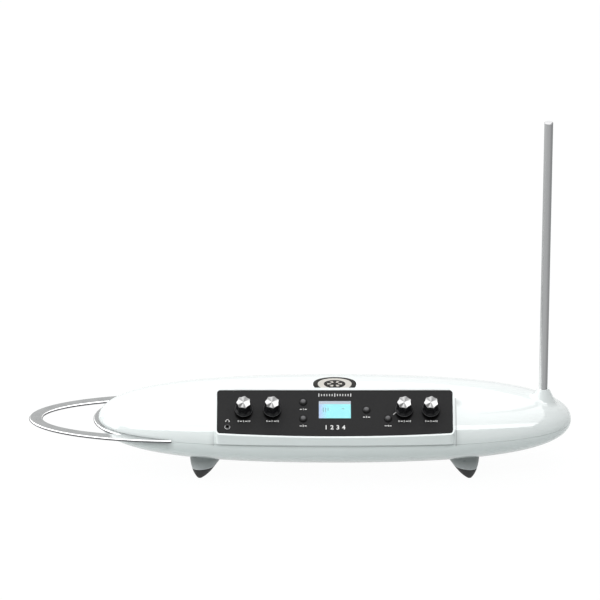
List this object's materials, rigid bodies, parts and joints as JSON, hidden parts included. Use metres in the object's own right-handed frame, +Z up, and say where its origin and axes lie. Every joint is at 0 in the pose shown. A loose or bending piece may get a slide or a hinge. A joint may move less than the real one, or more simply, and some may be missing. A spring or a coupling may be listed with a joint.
{
  "type": "theremin",
  "caption": "Desktop theremin: gloss white oval body, sloping control panel with knobs and display, flat volume loop on the left and upright pitch rod on the right.",
  "frame": {"origin": "on the table under the middle of the whole outline", "axes": "+Z up, -Y towards the player's front panel, +X towards the pitch rod"},
  "size_m": [0.596, 0.1422, 0.4093],
  "materials": {
    "white_shell": "gloss white moulding",
    "panel_black": "fine matt black",
    "knob_black": "soft-touch black",
    "knob_silver": "spun satin",
    "button_grey": "matt dark grey",
    "display_glass": "clear window",
    "display_module": "dark module",
    "antenna_metal": "satin",
    "rod_metal": "nickel-plated satin",
    "socket_brass": "turned",
    "foot_rubber": "matt black",
    "leg_grey": "satin grey-white",
    "board_green": "solder mask",
    "control_steel": "plated",
    "screw_steel": "blackened",
    "socket_black": "black moulding",
    "badge_black": "gloss printed oval plate"
  },
  "bodies": {
    "root": {"upper_shell": "white_shell", "lower_shell": "white_shell", "shell_screws": "screw_steel", "panel_board_screws": "screw_steel", "main_board_screws": "screw_steel", "volume_antenna": "antenna_metal", "pitch_antenna_socket": "socket_brass", "stand_insert": "socket_brass", "legs": "leg_grey", "foot_pads": "foot_rubber", "front_panel": "panel_black", "rear_panel": "panel_black", "outer_left_control": "control_steel", "inner_left_control": "control_steel", "inner_right_control": "control_steel", "outer_right_control": "control_steel", "control_nuts": "control_steel", "headphone_jack_nut": "control_steel", "rear_jack_nuts": "control_steel", "usb_socket": "control_steel", "panel_spacers": "control_steel", "button_switches": "socket_black", "headphone_jack": "socket_black", "control_out_jack": "socket_black", "left_out_jack": "socket_black", "right_out_jack": "socket_black", "power_inlet": "socket_black", "power_switch_case": "socket_black", "display_window": "display_glass", "display_module": "display_module", "panel_board": "board_green", "main_board": "board_green", "socket_board": "board_green", "top_badge": "badge_black"},
    "outer_left_dial": {"outer_left_knob": "knob_black", "outer_left_knob_cap": "knob_silver", "outer_left_shaft": "control_steel"},
    "inner_left_dial": {"inner_left_knob": "knob_black", "inner_left_knob_cap": "knob_silver", "inner_left_shaft": "control_steel"},
    "inner_right_dial": {"inner_right_knob": "knob_black", "inner_right_knob_cap": "knob_silver", "inner_right_shaft": "control_steel"},
    "outer_right_dial": {"outer_right_knob": "knob_black", "outer_right_knob_cap": "knob_silver", "outer_right_shaft": "control_steel"},
    "upper_left_key": {"upper_left_button": "button_grey"},
    "lower_left_key": {"lower_left_button": "button_grey"},
    "first_right_key": {"first_right_button": "button_grey"},
    "second_right_key": {"second_right_button": "button_grey"},
    "power_toggle": {"power_rocker": "socket_black"},
    "pitch_rod": {"pitch_antenna": "rod_metal"}
  },
  "joints": [
    {"name": "outer_left_turn", "type": "hinge", "parent": "root", "child": "outer_left_dial", "pos_m": [-0.0614, -0.04357, 0.08779], "axis": [0, -0.5736, 0.8192], "range_deg": [-150, 150]},
    {"name": "inner_left_turn", "type": "hinge", "parent": "root", "child": "inner_left_dial", "pos_m": [-0.0303, -0.04357, 0.08779], "axis": [0, -0.5736, 0.8192], "range_deg": [-150, 150]},
    {"name": "inner_right_turn", "type": "hinge", "parent": "root", "child": "inner_right_dial", "pos_m": [0.1135, -0.04357, 0.08779], "axis": [0, -0.5736, 0.8192], "range_deg": [-150, 150]},
    {"name": "outer_right_turn", "type": "hinge", "parent": "root", "child": "outer_right_dial", "pos_m": [0.1426, -0.04357, 0.08779], "axis": [0, -0.5736, 0.8192], "continuous": true},
    {"name": "upper_left_press", "type": "slide", "parent": "root", "child": "upper_left_key", "axis": [0, 0.5736, -0.8192], "range_m": [0, 0.0005], "stiffness_N_per_m": 500, "springref_m": -0.0005},
    {"name": "lower_left_press", "type": "slide", "parent": "root", "child": "lower_left_key", "axis": [0, 0.5736, -0.8192], "range_m": [0, 0.0005], "stiffness_N_per_m": 500, "springref_m": -0.0005},
    {"name": "first_right_press", "type": "slide", "parent": "root", "child": "first_right_key", "axis": [0, 0.5736, -0.8192], "range_m": [0, 0.0005], "stiffness_N_per_m": 500, "springref_m": -0.0005},
    {"name": "second_right_press", "type": "slide", "parent": "root", "child": "second_right_key", "axis": [0, 0.5736, -0.8192], "range_m": [0, 0.0005], "stiffness_N_per_m": 500, "springref_m": -0.0005},
    {"name": "power_rock", "type": "hinge", "parent": "root", "child": "power_toggle", "pos_m": [0.101, 0.0622, 0.0563], "axis": [0, 0, 1], "range_deg": [-7, 7]},
    {"name": "pitch_rod_lift", "type": "slide", "parent": "root", "child": "pitch_rod", "axis": [0, 0, 1], "range_m": [0, 0.06]}
  ]
}
